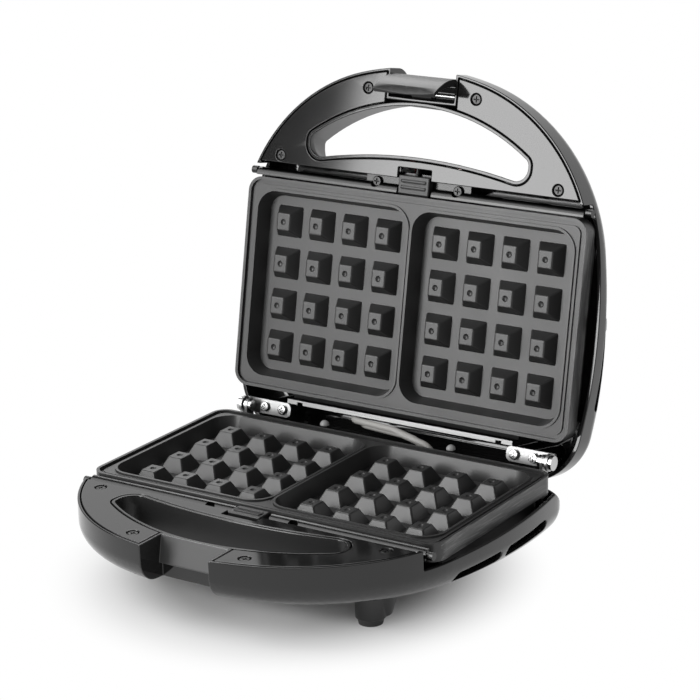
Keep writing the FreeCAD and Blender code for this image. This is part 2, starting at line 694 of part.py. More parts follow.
def tray():
    hx, hy = PLATE_END - TRAY_INSET, PLATE_SIDE - TRAY_INSET
    t = TRAY_SHEET
    r = PLATE_CORNER
    body = rounded(hx, hy, r, TRAY_FLOOR_Z - t, TRAY_FLANGE_Z)
    out = TRAY_INSET - TRAY_FLANGE_INSET
    flange = rounded(hx + out, hy + out, r, TRAY_FLANGE_Z - t, TRAY_FLANGE_Z)
    body = body.fuse(flange).cut(rounded(hx - t, hy - t, r - t, TRAY_FLOOR_Z, 0))
    holes = [rod(x, y, -FAR, 0, SCREW_R + SCREW_CLEAR) for x, y in TRAY_SCREWS]
    return body.cut(holes + heater_holes())


def reflector():
    gap = TRAY_INSET + TRAY_SHEET + REFLECTOR_GAP
    hx, hy = PLATE_END - gap, PLATE_SIDE - gap
    t = REFLECTOR_SHEET
    r = PLATE_CORNER - TRAY_SHEET - REFLECTOR_GAP
    body = rounded(hx, hy, r, TRAY_FLOOR_Z, TRAY_FLOOR_Z + REFLECTOR_RIM)
    body = body.cut(rounded(hx - t, hy - t, r - t, TRAY_FLOOR_Z + t, 0))
    holes = [rod(x, y, -FAR, 0, SCREW_HEAD_R + HEAD_CLEAR) for x, y in TRAY_SCREWS]
    return body.cut(holes + heater_holes())


def bent_wire(points, r):
    # Straight runs joined by tangent arcs of one bend radius.
    edges = []
    start = points[0]
    for i in range(1, len(points) - 1):
        p = points[i]
        a = unit(p, points[i - 1])
        b = unit(p, points[i + 1])
        half = math.acos(max(-1.0, min(1.0, a.dot(b)))) / 2
        reach = r / math.tan(half)
        bisect = a + b
        bisect.normalize()
        middle = p + bisect * (r / math.sin(half) - r)
        edges.append(line(start, p + a * reach))
        edges.append(Part.Arc(p + a * reach, middle, p + b * reach).toShape())
        start = p + b * reach
    edges.append(line(start, points[-1]))
    return Part.Wire(edges)


def tube_along(points, bend, r):
    path = bent_wire(points, bend)
    ring = Part.Wire(Part.makeCircle(r, points[0], unit(points[0], points[1])))
    return path.makePipeShell([ring], True, True)


def heater():
    x, y, lead, z = HEATER_X, HEATER_Y, HEATER_LEAD_X, HEATER_Z
    points = [
        V(-lead, HEATER_END_Y, z), V(-lead, y, z), V(-x, y, z), V(-x, -y, z),
        V(x, -y, z), V(x, y, z), V(lead, y, z), V(lead, HEATER_END_Y, z),
    ]
    return tube_along(points, HEATER_BEND_R, HEATER_R)


def saddles():
    base = TRAY_FLOOR_Z + REFLECTOR_SHEET
    w = SADDLE_HALF
    out = []
    for x in (HEATER_X, -HEATER_X):
        block = box(x - w, x + w, -w, w, base, HEATER_Z)
        out.append(block.cut(rod_y(x, -FAR, FAR, HEATER_Z, HEATER_R)))
    for x in (HEATER_X / 2, -HEATER_X / 2):
        block = box(x - w, x + w, -HEATER_Y - w, -HEATER_Y + w, base, HEATER_Z)
        out.append(block.cut(rod_x(-FAR, FAR, -HEATER_Y, HEATER_Z, HEATER_R)))
    return Part.makeCompound(out)


def front_rail():
    # A rounded sloping face in front of the plate, with a flange that runs under the handle cover.
    t = RAIL_SHEET

    def at(point, dy=0.0, dz=0.0):
        return V(RAIL_GAP_HALF, point[0] + dy, point[1] + dz)

    low = RAIL_UNDER_Z
    knee = V(RAIL_GAP_HALF, RAIL_FACE[0] + t, low)
    edges = [
        Part.Arc(at(RAIL_TOP), at(RAIL_CREST), at(RAIL_FACE)).toShape(),
        line(at(RAIL_FACE), V(RAIL_GAP_HALF, RAIL_FACE[0], low)),
        line(V(RAIL_GAP_HALF, RAIL_FACE[0], low), knee),
        line(knee, at(RAIL_FACE, t)),
        Part.Arc(at(RAIL_FACE, t), at(RAIL_CREST, 0.4 * t, -t), at(RAIL_TOP, 0, -t)).toShape(),
        line(at(RAIL_TOP, 0, -t), at(RAIL_TOP)),
    ]
    body = Part.Face(Part.Wire(edges)).extrude(V(RAIL_HALF - RAIL_GAP_HALF, 0, 0))
    # The curled end stands a little apart, on a thin tongue.
    cy, cz = RAIL_CREST[0] + 0.2, RAIL_CREST[1] - RAIL_CURL_R
    body = body.fuse(rod_x(RAIL_HALF - 6, RAIL_END, cy, cz, RAIL_CURL_R - 0.9))
    body = body.fuse(rod_x(RAIL_HALF + 0.8, RAIL_END, cy, cz, RAIL_CURL_R))
    body = body.cut(rod(RAIL_SCREW[0], RAIL_SCREW[1], RAIL_FLANGE_Z, 0, SCREW_HEAD_R + HEAD_CLEAR))
    half = RAIL_FLANGE_HALF
    flange = box(-half, half, RAIL_FLANGE_Y, RAIL_FACE[0] + t, low, RAIL_FLANGE_Z)
    body = join([flange] + pair(body))
    return body.cut([rod(x, y, -FAR, FAR, SCREW_R + SCREW_CLEAR) for x, y in RAIL_SCREWS])


def rear_strip(is_lid):
    t = STRIP_SHEET
    y0, y1 = LID_STRIP_Y if is_lid else STRIP_Y
    wall = PLATE_SIDE - TRAY_INSET
    step = TRAY_FLANGE_Z - TRAY_SHEET - STRIP_TRAY_GAP
    points = [
        (wall, STRIP_LOW_Z), (wall + t, STRIP_LOW_Z), (wall + t, step - t),
        (y0 + t, step - t), (y0 + t, STRIP_Z - t), (y1, STRIP_Z - t),
        (y1, STRIP_Z), (y0, STRIP_Z), (y0, step), (wall, step),
    ]
    body = side_profile(points, STRIP_HALF)
    # A small notch near each end, and clearance for the base's pegs.
    cuts = heater_holes()
    if not is_lid:
        cuts += [rod(s * PEG[0], PEG[1], -FAR, FAR, PEG_R + PEG_CLEAR) for s in (1, -1)]
    x = STRIP_HALF - STRIP_NOTCH_IN
    cuts += pair(box(x - 2, x + 2, y1 - 1.6, FAR, STRIP_Z - 2 * t, 0))
    return body.cut(cuts)


def catch():
    y0, y1 = CATCH_Y
    low = RAIL_FLANGE_Z + SIDE_CLEAR
    body = box(-CATCH_HALF, CATCH_HALF, y0, y1, low, CATCH_TOP_Z)
    nose = box(-NOSE_HALF, NOSE_HALF, y1, y1 + NOSE_REACH, low, low + NOSE_HEIGHT)
    body = join([body, nose])
    picks = [e for e in body.Edges if e.Length > 4 and abs(e.CenterOfMass.z - CATCH_TOP_Z) < 1e-4]
    body = body.makeFillet(CATCH_EDGE_R, picks)
    w = CATCH_HALF - 2
    top = CATCH_TOP_Z + CATCH_RIDGE
    ridges = [box(-w, w, y0 + d, y0 + d + 1.5, CATCH_TOP_Z - 1, top) for d in (2.4, 6.0)]
    return join([body] + ridges)


def catch_spring():
    # A coil of touching turns shown as a hollow sleeve.
    body = rod_y(0, SPRING_SEAT_Y, CATCH_Y[0], SPRING_Z, SPRING_R)
    return body.cut(rod_y(0, SPRING_SEAT_Y, CATCH_Y[0], SPRING_Z, SPRING_R - SPRING_WIRE))


def lid_arm():
    t = HINGE_SHEET
    x0, x1 = ARM_X
    y0, y1 = ARM_Y
    bar = box(x0, x1, y0, y1, ARM_Z - t, ARM_Z)
    picks = [e for e in bar.Edges if abs(e.Length - t) < 1e-6 and abs(e.CenterOfMass.x - x0) < 0.01]
    bar = bar.makeFillet(ARM_CORNER_R, picks)
    ear = box(x1 - t, x1, HINGE_Y - ARM_EAR_HALF, HINGE_Y + ARM_EAR_HALF, ARM_Z - t, 0)
    ear = ear.fuse(rod_x(x1 - t, x1, HINGE_Y, 0, ARM_EYE_R))
    cuts = [rod_x(x1 - 5, x1 + 5, HINGE_Y, 0, PIN_R + RUN_CLEAR)]
    cuts += [rod(x, HINGE_Y, -FAR, FAR, SCREW_R + SCREW_CLEAR) for x in ARM_SCREWS]
    return join([bar, ear]).cut(cuts)


def base_bracket():
    t = HINGE_SHEET
    x0 = BRACKET_X
    y0, y1 = HINGE_Y - BRACKET_EYE_R, HINGE_Y + BRACKET_BACK
    ear = box(x0, x0 + t, y0, y1, BRACKET_FOOT_Z - t, 0)
    foot = box(BRACKET_FOOT_X, x0 + t, y0, y1, BRACKET_FOOT_Z - t, BRACKET_FOOT_Z)
    eye = rod_x(x0, x0 + t, HINGE_Y, 0, BRACKET_EYE_R)
    pin_hole = rod_x(0, FAR, HINGE_Y, 0, PIN_R)
    screw_hole = rod(BRACKET_SCREW_X, HINGE_Y, -FAR, 0, SCREW_R + SCREW_CLEAR)
    return join([ear, foot, eye]).cut([pin_hole, screw_hole])


def hinge_pin():
    x0 = BRACKET_X - PIN_HEAD
    x1 = ARM_X[1] + SIDE_CLEAR
    body = rod_x(x0, x1, HINGE_Y, 0, PIN_R)
    body = body.fuse(rod_x(x1, x1 + PIN_HEAD, HINGE_Y, 0, PIN_HEAD_R))
    return join([body, rod_x(x0, x0 + PIN_HEAD, HINGE_Y, 0, PIN_HEAD_R - 0.6)])


def hinge_washer():
    x0 = BRACKET_X + HINGE_SHEET
    x1 = ARM_X[1] - HINGE_SHEET - SIDE_CLEAR
    return rod_x(x0, x1, HINGE_Y, 0, PIN_HEAD_R - 0.4).cut(rod_x(x0, x1, HINGE_Y, 0, PIN_R))


def latch():
    # A curved plate on a narrow boss, with a scoop across its lip for a finger.
    py, pz = LATCH_PIVOT_Y, LATCH_PIVOT_Z

    def at(point, x=-LATCH_HALF):
        return V(x, py - point[0], pz + point[1])

    edges = [
        Part.Arc(at(LATCH_TOP), at(LATCH_BULGE), at(LATCH_LIP)).toShape(),
        line(at(LATCH_LIP), at(LATCH_TIP)),
        line(at(LATCH_TIP), at(LATCH_BARB)),
        Part.Arc(at(LATCH_BARB), at(LATCH_THROAT), at(LATCH_ROOT)).toShape(),
        line(at(LATCH_ROOT), at(LATCH_HEEL)),
        line(at(LATCH_HEEL), at(LATCH_TOP)),
    ]
    body = Part.Face(Part.Wire(edges)).extrude(V(2 * LATCH_HALF, 0, 0))
    start = at(LATCH_SCOOP[0], 0.0)
    along = unit(start, at(LATCH_SCOOP[1], 0.0))
    middle = start + V(0, along.z, -along.y) * LATCH_SCOOP_R
    scoop = Part.makeCylinder(LATCH_SCOOP_R, FAR, middle - along * (FAR / 2), along)
    body = body.cut(scoop)
    w = LATCH_BOSS_HALF
    boss = rod_x(-w, w, py, pz, LATCH_BOSS_R)
    web = box(-w, w, py - LATCH_ROOT[0] - 1.0, py, pz - LATCH_BOSS_R, pz + LATCH_ROOT[1])
    return join([body, boss, web]).cut(rod_x(-FAR, FAR, py, pz, LATCH_PIN_R + RUN_CLEAR))


def latch_pin():
    half = NOTCH_HALF + NOTCH_WALL
    return rod_x(-half, half, LATCH_PIVOT_Y, LATCH_PIVOT_Z, LATCH_PIN_R)


def lamp_spot(x):
    out = V(0, -BOTTOM_SLOPE, -1)
    out.normalize()
    return V(x, LAMP[1], bottom_z(LAMP[1], WALL)), out


def lens(x):
    spot, out = lamp_spot(x)
    body = Part.makeCylinder(LENS_R, WALL + LENS_PROUD, spot, out)
    return join([body, Part.makeCylinder(LENS_R + LENS_FLANGE, 1.0, spot, out * -1)])


def lamp(x):
    spot, out = lamp_spot(x)
    return Part.makeCylinder(LENS_R - 0.4, LAMP_LENGTH, spot - out, out * -1)


def foot(x, y):
    floor = -PARTING_HEIGHT
    tip = Part.makeCone(FOOT_TIP_R, FOOT_R, FOOT_TAPER, V(x, y, floor))
    return join([tip, rod(x, y, floor + FOOT_TAPER, FOOT_POCKET_Z, FOOT_R)])


def gland():
    y = REAR_REACH
    flange = rod_y(GLAND_X, y, y + GLAND_FLANGE, GLAND_Z, GLAND_R + GLAND_FLANGE)
    body = rod_y(GLAND_X, y - GLAND_DEPTH, y, GLAND_Z, GLAND_R)
    return join([flange, body]).cut(rod_y(GLAND_X, 0, FAR, GLAND_Z, GLAND_BORE_R))


def terminal_block():
    y0, y1 = TERMINAL_Y
    block = box(GLAND_X - TERMINAL_HALF, GLAND_X + TERMINAL_HALF, y0, y1, -FAR, TERMINAL_TOP_Z)
    return block.common(tub(WALL, 0.0))


def sleeves():
    out = []
    for shift in (V(0, 0, 0), V(*SLEEVE_OFFSET)):
        path = (SLEEVE_START, SLEEVE_RISE, SLEEVE_OVER, SLEEVE_BACK, SLEEVE_END)
        points = [V(*p) + shift for p in path]
        out.append(tube_along(points, SLEEVE_BEND_R, SLEEVE_R))
    return Part.makeCompound(out)


def fixings(points, top, length=SCREW_LENGTH):
    return Part.makeCompound([screw(x, y, top, length) for x, y in points])


def place(shape, is_lid):
    if is_lid:
        shape = shape.mirror(V(0, 0, 0), V(0, 0, 1))
        shape.rotate(V(0, HINGE_Y, 0), V(-1, 0, 0), LID_OPEN_DEG)
    shape.translate(V(0, 0, PARTING_HEIGHT))
    return shape


def save(name, shape, is_lid=False):
    shape = place(shape.copy(), is_lid)
    shape.exportStep("parts/" + name + ".step")


shared = {
    "front_rail": front_rail(),
    "rail_screws": fixings(RAIL_SCREWS, RAIL_FLANGE_Z + SCREW_HEAD),
    "plate": plate(),
    "tray": tray(),
    "tray_screws": fixings(TRAY_SCREWS, TRAY_FLOOR_Z + SCREW_HEAD, SHORT_SCREW),
    "reflector": reflector(),
    "heater": heater(),
    "heater_saddles": saddles(),
    "release_catch": catch(),
    "catch_spring": catch_spring(),
}
for name, shape in shared.items():
    save("lower_" + name, shape)
    save("upper_" + name, shape, True)

for half, is_lid, short in (("base", False, 0.0), ("lid", True, LID_SHORT)):
    save(("upper" if is_lid else "lower") + "_rear_strip", rear_strip(is_lid), is_lid)
    save(half + "_handle_cover", handle_cover(short), is_lid)
    save(half + "_cover_screws", fixings(cover_screw_points(short), -COVER_DROP - HEAD_SINK), is_lid)
    save(half + "_shell", shell(is_lid), is_lid)

save("rubber_feet", Part.makeCompound([foot(s * FOOT_X, y) for y in FOOT_Y for s in (1, -1)]))
save("hinge_bracket_right", base_bracket())
save("hinge_bracket_left", flip(base_bracket()))
save("bracket_screws", fixings(BRACKET_SCREW_POINTS, BRACKET_FOOT_Z + SCREW_HEAD))
save("hinge_pins", Part.makeCompound(pair(hinge_pin())))
save("hinge_washers", Part.makeCompound(pair(hinge_washer())))
save("cord_gland", gland())
low = TRAY_UNDER_Z - THERMOSTAT_HEIGHT
save("thermostat", rod(THERMOSTAT[0], THERMOSTAT[1], low, TRAY_UNDER_Z, THERMOSTAT_R))
save("thermal_fuse", rod_x(FUSE_X[0], FUSE_X[1], FUSE_Y, TRAY_UNDER_Z - FUSE_R, FUSE_R))
save("terminal_block", terminal_block())
save("wire_sleeves", sleeves())

save("lid_arm_right", lid_arm(), True)
save("lid_arm_left", flip(lid_arm()), True)
save("lid_arm_screws", fixings(ARM_SCREW_POINTS, ARM_Z + SCREW_HEAD), True)
save("latch_hook", latch(), True)
save("latch_pin", latch_pin(), True)
save("indicator_lenses", Part.makeCompound([lens(LAMP[0]), lens(-LAMP[0])]), True)
save("neon_lamps", Part.makeCompound([lamp(LAMP[0]), lamp(-LAMP[0])]), True)
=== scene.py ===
import bpy
import json
import math
from mathutils import Matrix, Vector


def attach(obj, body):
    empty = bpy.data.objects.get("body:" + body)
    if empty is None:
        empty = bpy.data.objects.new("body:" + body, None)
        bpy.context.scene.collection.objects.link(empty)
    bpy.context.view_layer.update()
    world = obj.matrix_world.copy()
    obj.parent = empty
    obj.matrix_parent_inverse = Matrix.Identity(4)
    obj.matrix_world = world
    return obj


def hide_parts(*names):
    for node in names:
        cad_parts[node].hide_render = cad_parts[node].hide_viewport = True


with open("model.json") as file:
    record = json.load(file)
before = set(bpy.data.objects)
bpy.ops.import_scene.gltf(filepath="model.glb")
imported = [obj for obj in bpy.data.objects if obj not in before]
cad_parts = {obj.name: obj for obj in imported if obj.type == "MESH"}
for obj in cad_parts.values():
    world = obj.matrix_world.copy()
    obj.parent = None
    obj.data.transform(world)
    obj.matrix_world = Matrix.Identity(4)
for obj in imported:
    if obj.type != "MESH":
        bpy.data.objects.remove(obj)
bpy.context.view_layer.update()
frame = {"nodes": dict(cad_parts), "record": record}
nodes = frame["nodes"]
behaviour = frame["record"]["behaviour"]
slots = {part["node"]: part["material_slot"] for part in frame["record"]["subparts"]}
holder = {node: body for body, members in behaviour["bodies"].items() for node in members}
hinge = next(joint for joint in behaviour["joints"] if joint["name"] == "lid_hinge")
hinge_spot = Vector(hinge["pos_m"])
lid_turn = math.radians(-hinge["range_deg"][0])

# Places in metres in each half's own frame, where Z is 0 at the parting plane and falls with depth.
HOLE_FRONT_R = 0.1228
HOLE_FRONT_MIDDLE_Y = 0.0061
HOLE_REAR_R = 0.328
HOLE_REAR_MIDDLE_Y = 0.2425
HOLE_HALF = 0.081
HOLE_Z = (-0.036, -0.0015)
HOLE_SLACK = 0.0006
KEEPER_HALF = 0.0225
KEEPER_Y = (-0.1215, -0.1178)
KEEPER_Z = (-0.0168, -0.0005)
PEG_X = 0.0432
PEG_Y = 0.0695
PEG_R = 0.003
PEG_LOW_Z = -0.012
STRIP_STEP_Z = -0.008
COVER_SCREWS = ((0.036, -0.1242), (0.093, -0.0792))
RAIL_SCREWS = ((0.0272, -0.0688),)
PLATE_BRUSHED_X = 0.1128

# The lid's handle is this much shorter than the base's, in metres.
LID_SHORT = 0.0022

# Limits of the normals on the hole's walls and on the keeper's slope.
HOLE_WALL_NORMAL_Z = 0.6
KEEPER_NORMAL_Y = -0.9

# Driver recesses of the screws, with depths in metres below a screw's top.
CROSS_R = 0.0021
CROSS_LOWEST = 0.0011
CROSS_HIGHEST = 0.00003

# Lean of the rear wall of the lid's finger hole, more towards the sides, and where it fades out.
LEAN_MIDDLE = 0.004
LEAN_SIDEWAYS = 0.052
LEAN_FULL = 0.010
LEAN_BEHIND = 1.15
LEAN_IN_FRONT = 0.007
LEAN_START_DEPTH = 0.003
LEAN_DEPTH = 0.024
LEAN_DEEPEST = 1.1
LEAN_END_X = 0.085
LEAN_END_FADE = 0.011

# Finishing of the copies, in metres and degrees.
MERGE = 1e-6
FLAT_ANGLE = 0.5
SMOOTH_ANGLE = 40
EDGE = 0.0005
EDGE_ANGLE = 35
LATCH_EDGE = 0.0002
LATCH_EDGE_ANGLE = 60

# Noise scales, coarse for patches and fine for grain, streaks and thread.
PLASTIC_PATCH = 28.0
PLASTIC_GRAIN = 700.0
LENS_PATCH = 90.0
COATING_PATCH = 35.0
COATING_GRAIN = 1500.0
BRUSHED_STREAK = 1500.0
STEEL_PATCH = 60.0
STEEL_STREAK = 900.0
SLEEVE_THREAD = 1800.0

# Brushing of the plates' outer ends, and the share of the plain mix elsewhere on them.
BRUSHED_FROM = 0.5
BRUSHED_TO = 0.68
PLAIN_SHARE = 0.1

# Scales of noise on X, Y and Z, where a small one draws it out and a large one packs it.
ALONG_X = (0.02, 1, 1)
ALONG_Y = (1, 0.04, 1)
PACKED_Z = (1, 1, 2.5)
EVEN = (1, 1, 1)


class Sock:
    """A shader socket that can be used in sums."""
    tree = None

    def __init__(self, socket):
        self.socket = socket

    @classmethod
    def add(cls, kind, settings=None, inputs=None, out=0):
        node = cls.tree.nodes.new("ShaderNode" + kind)
        for key, value in (settings or {}).items():
            setattr(node, key, value)
        for key, value in (inputs or {}).items():
            if isinstance(value, Sock):
                cls.tree.links.new(value.socket, node.inputs[key])
            else:
                node.inputs[key].default_value = value
        return Sock(node.outputs[out])

    def join(self, kind, other, swap=False):
        pair = {0: other, 1: self} if swap else {0: self, 1: other}
        return Sock.add("Math", {"operation": kind}, pair)

    def __add__(self, other):
        return self.join("ADD", other)

    def __radd__(self, other):
        return self.join("ADD", other, True)

    def __sub__(self, other):
        return self.join("SUBTRACT", other)

    def __rsub__(self, other):
        return self.join("SUBTRACT", other, True)

    def __mul__(self, other):
        return self.join("MULTIPLY", other)

    def __rmul__(self, other):
        return self.join("MULTIPLY", other, True)


# Materials.
def material(name):
    made = bpy.data.materials.new(name)
    made.use_nodes = True
    made.node_tree.nodes.clear()
    Sock.tree = made.node_tree
    return made


def finish_with(made, surface, kind="ShaderNodeOutputMaterial"):
    out = made.node_tree.nodes.new(kind)
    made.node_tree.links.new(surface.socket, out.inputs["Surface"])
    return made


def shade(made, color, rough, metal, bump, bump_mm, **extra):
    relief = {"Strength": 1.0, "Distance": bump_mm / 1000, "Height": bump}
    inputs = {
        "Base Color": color,
        "Roughness": rough,
        "Metallic": metal,
        "Normal": Sock.add("Bump", None, relief),
    }
    return finish_with(made, Sock.add("BsdfPrincipled", None, inputs | extra))


def place(stretch=EVEN, turn=0.0):
    """Object coordinates, turned about X and then stretched."""
    spot = Sock.add("TexCoord", None, None, "Object")
    if turn:
        spot = Sock.add("VectorRotate", {"rotation_type": "X_AXIS"}, {"Vector": spot, "Angle": turn})
    return Sock.add("Mapping", None, {"Vector": spot, "Scale": stretch})


def noise(scale, detail, stretch=EVEN, rough=0.5, turn=0.0):
    spot = place(stretch, turn)
    return Sock.add("TexNoise", None, {"Vector": spot, "Scale": scale, "Detail": detail, "Roughness": rough})


def ramp(value, low, high):
    """Mixes two colours by a value from 0 to 1."""
    keys = {"Factor": value, 6: (*low, 1), 7: (*high, 1)}
    return Sock.add("Mix", {"data_type": "RGBA"}, keys, 2)


def gray(tone):
    return (tone, tone, tone)


def plastic(name, tone, rough, bump_mm=0.004):
    made = material(name)
    patch = noise(PLASTIC_PATCH, 3.0)
    color = ramp(patch, gray(tone * 0.9), gray(tone * 1.1))
    return shade(made, color, rough + patch * 0.05, 0.0, noise(PLASTIC_GRAIN, 1.0), bump_mm, IOR=1.5)


def tinted(name, low, high, rough):
    made = material(name)
    patch = noise(LENS_PATCH, 2.0)
    return shade(made, ramp(patch, low, high), rough + patch * 0.04, 0.0, patch, 0.004, IOR=1.5)


def brushed(mix, turn):
    """Keeps a coating's mix dark, and turns it into light streaks at the plate's outer ends."""
    side = Sock.add("SeparateXYZ", None, {0: place()}, "X").join("ABSOLUTE", 0.0)
    beyond = side.join("GREATER_THAN", PLATE_BRUSHED_X)
    streak = noise(BRUSHED_STREAK, 3.0, ALONG_Y, 0.7, turn)
    scratch = Sock.add("MapRange", None, {"Value": streak, "From Min": BRUSHED_FROM, "From Max": BRUSHED_TO})
    return (1.0 - beyond) * mix * PLAIN_SHARE + beyond * scratch


def coated(name, tone, rough, bump_mm, light=None, turn=0.0):
    """A coating with a fine grain. A light tone asks for brushed ends."""
    made = material(name)
    grain = noise(COATING_GRAIN, 2.0)
    patch = noise(COATING_PATCH, 3.0)
    mix = patch * 0.5 + grain * 0.5
    if light:
        mix = brushed(mix, turn)
    color = ramp(mix, gray(tone * 0.82), gray(light or tone * 1.18))
    return shade(made, color, rough - 0.05 + patch * 0.1, 0.0, grain, bump_mm, IOR=1.5)


def steel(name, tone, rough, stretch=ALONG_X, bump_mm=0.004):
    """Metal drawn along X, unless it is stretched another way."""
    made = material(name)
    streak = noise(STEEL_STREAK, 3.0, stretch)
    patch = noise(STEEL_PATCH, 2.0)
    color = ramp(streak * 0.6 + patch * 0.4, gray(tone * 0.85), gray(tone * 1.1))
    return shade(made, color, rough - 0.06 + streak * 0.12, 1.0, streak, bump_mm)


def woven(name, low, high):
    made = material(name)
    thread = noise(SLEEVE_THREAD, 3.0, PACKED_Z)
    return shade(made, ramp(thread, low, high), 0.48 + thread * 0.1, 0.0, thread, 0.06)


looks = {
    "black_gloss": plastic("black gloss plastic", 0.008, 0.06, 0.0006),
    "satin": plastic("black satin plastic", 0.010, 0.36, 0.002),
    # This plastic is lighter than the shell: a painted sheen on the keeper's slope.
    "keeper": plastic("keeper plastic with painted sheen", 0.045, 0.42, 0.002),
    "peg": plastic("peg nylon", 0.2, 0.4, 0.002),
    # This near-black colour is painted shade in the screws' driver recesses.
    "recess": plastic("screw recess painted shade", 0.002, 0.6, 0.002),
    "nonstick": coated("non-stick coating", 0.018, 0.36, 0.006, 0.10),
    "nonstick_lid": coated("upper non-stick coating", 0.018, 0.36, 0.006, 0.10, lid_turn),
    "bright_steel": steel("bright steel", 0.5, 0.2),
    "screw_steel": steel("black zinc screw", 0.04, 0.3, EVEN),
    "rail": steel("rail steel", 0.045, 0.26),
    "satin_steel": steel("satin steel", 0.36, 0.36),
    "strip": steel("rear strip steel", 0.16, 0.3),
    # The tray is near black as painted shade, so the vent slots show dark; the rear strip's step uses it
    # too.
    "tray_steel": steel("tray steel darkened as painted shade", 0.02, 0.6, bump_mm=0.01),
    "reflector_aluminium": steel("reflector aluminium", 0.75, 0.3, bump_mm=0.01),
    "foot_rubber": coated("foot rubber", 0.02, 0.7, 0.05),
    "sleeve": woven("woven sleeve", (0.17, 0.166, 0.159), (0.31, 0.304, 0.291)),
    "bakelite": plastic("bakelite", 0.06, 0.45, 0.01),
    "lens": tinted("red lens", (0.35, 0.02, 0.015), (0.55, 0.04, 0.03), 0.08),
    "lamp_glass": plastic("lamp glass", 0.5, 0.05),
}
# Nodes whose finish differs from the one that their material slot names.
own = {
    "upper_plate": "nonstick_lid",
    "lower_front_rail": "rail",
    "upper_front_rail": "rail",
    "lower_rear_strip": "strip",
    "upper_rear_strip": "strip",
    "lid_arm_left": "satin_steel",
    "lid_arm_right": "satin_steel",
    "hinge_bracket_left": "satin_steel",
    "hinge_bracket_right": "satin_steel",
    "lid_arm_screws": "bright_steel",
    "bracket_screws": "bright_steel",
    "latch_hook": "satin",
    "lower_release_catch": "satin",
    "upper_release_catch": "satin",
}
for name, thing in nodes.items():
    thing.data.materials.clear()
    thing.data.materials.append(looks[own.get(name, slots[name])])


# Places on the housing.
def in_half(spot, is_lid):
    """A place measured from its own half's parting plane, with depth below it as -Z."""
    y, z = spot.y - hinge_spot.y, spot.z - hinge_spot.z
    if is_lid:
        c, s = math.cos(lid_turn), math.sin(lid_turn)
        y, z = y * c - z * s, -y * s - z * c
    return Vector((spot.x, y + hinge_spot.y, z))


def between(value, limits):
    return limits[0] < value < limits[1]


def rear_arc(spot):
    """How far a place lies in front of the arc behind the finger hole."""
    return math.hypot(spot.x, spot.y - HOLE_REAR_MIDDLE_Y) - HOLE_REAR_R


def in_hole(spot, normal, short=0.0):
    """True on the walls of a finger hole."""
    front = math.hypot(spot.x, spot.y - HOLE_FRONT_MIDDLE_Y - short)
    within = front < HOLE_FRONT_R + HOLE_SLACK and rear_arc(spot) > -HOLE_SLACK and abs(spot.x) < HOLE_HALF
    return within and between(spot.z, HOLE_Z) and abs(normal.z) < HOLE_WALL_NORMAL_Z


def in_lid_hole(spot, normal):
    return in_hole(spot, normal, LID_SHORT)


def on_keeper(spot, normal):
    """True on the slope that the latch hooks under."""
    within = abs(spot.x) < KEEPER_HALF and between(spot.y, KEEPER_Y) and between(spot.z, KEEPER_Z)
    return within and normal.y < KEEPER_NORMAL_Y


def on_peg(spot, normal):
    return math.hypot(abs(spot.x) - PEG_X, spot.y - PEG_Y) < PEG_R and spot.z > PEG_LOW_Z


# The strip's lower step, which is painted near black as shade.
def on_strip_step_painted_shade(spot, normal):
    return spot.z < STRIP_STEP_Z


def in_crosses(spots, short, top):
    """A test for the driver recesses of screws at the given spots and their mirrored ones."""
    def test(spot, normal):
        near = min(math.hypot(abs(spot.x) - x, spot.y - y - short) for x, y in spots)
        return near < CROSS_R and between(spot.z, (top - CROSS_LOWEST, top - CROSS_HIGHEST))
    return test


# Finishing of copied CAD nodes.
def copy_of(name):
    """A copy of a CAD node with its mesh joined up, shown in its place."""
    source = nodes[name]
    piece = source.copy()
    piece.data = source.data.copy()
    piece.name = name + "_finished"
    bpy.context.collection.objects.link(piece)
    bpy.ops.object.select_all(action="DESELECT")
    bpy.context.view_layer.objects.active = piece
    piece.select_set(True)
    bpy.ops.object.mode_set(mode="EDIT")
    bpy.ops.mesh.select_all(action="SELECT")
    bpy.ops.mesh.remove_doubles(threshold=MERGE)
    bpy.ops.mesh.dissolve_limited(angle_limit=math.radians(FLAT_ANGLE))
    bpy.ops.object.mode_set(mode="OBJECT")
    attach(piece, holder[name])
    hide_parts(name)
    return piece


def soften(piece, width=EDGE, angle=EDGE_ANGLE):
    """Rounds the edges of a copy that was just made."""
    rounding = piece.modifiers.new("rounding", "BEVEL")
    rounding.width = width
    rounding.segments = 2
    rounding.limit_method = "ANGLE"
    rounding.angle_limit = math.radians(angle)
    rounding.use_clamp_overlap = False
    rounding.miter_outer = "MITER_ARC"
    bpy.ops.object.modifier_apply(modifier="rounding")
    bpy.ops.object.shade_smooth_by_angle(angle=math.radians(SMOOTH_ANGLE))
    evened = piece.modifiers.new("evened", "WEIGHTED_NORMAL")
    evened.mode = "FACE_AREA"
    evened.weight = 50
    evened.keep_sharp = True
    bpy.ops.object.modifier_apply(modifier="evened")


def paint(piece, look, is_lid, test):
    """Gives another material to the faces whose place and normal pass the test."""
    piece.data.materials.append(looks[look])
    slot = len(piece.data.materials) - 1
    for face in piece.data.polygons:
        spot = in_half(face.center, is_lid)
        if test(spot, in_half(face.center + face.normal, is_lid) - spot):
            face.material_index = slot


def lean_at(spot):
    """The share of the full lean that a place in the lid takes."""
    most = LEAN_MIDDLE + LEAN_SIDEWAYS * abs(spot.x)
    off = rear_arc(spot)
    near = 1 + off / (LEAN_BEHIND * most) if off < 0 else 1 - off / LEAN_IN_FRONT
    deep = min((-spot.z - LEAN_START_DEPTH) / LEAN_DEPTH, LEAN_DEEPEST)
    ends = min((LEAN_END_X - abs(spot.x)) / LEAN_END_FADE, 1)
    if min(near, deep, ends) <= 0:
        return 0
    return near * deep * ends * most / LEAN_FULL


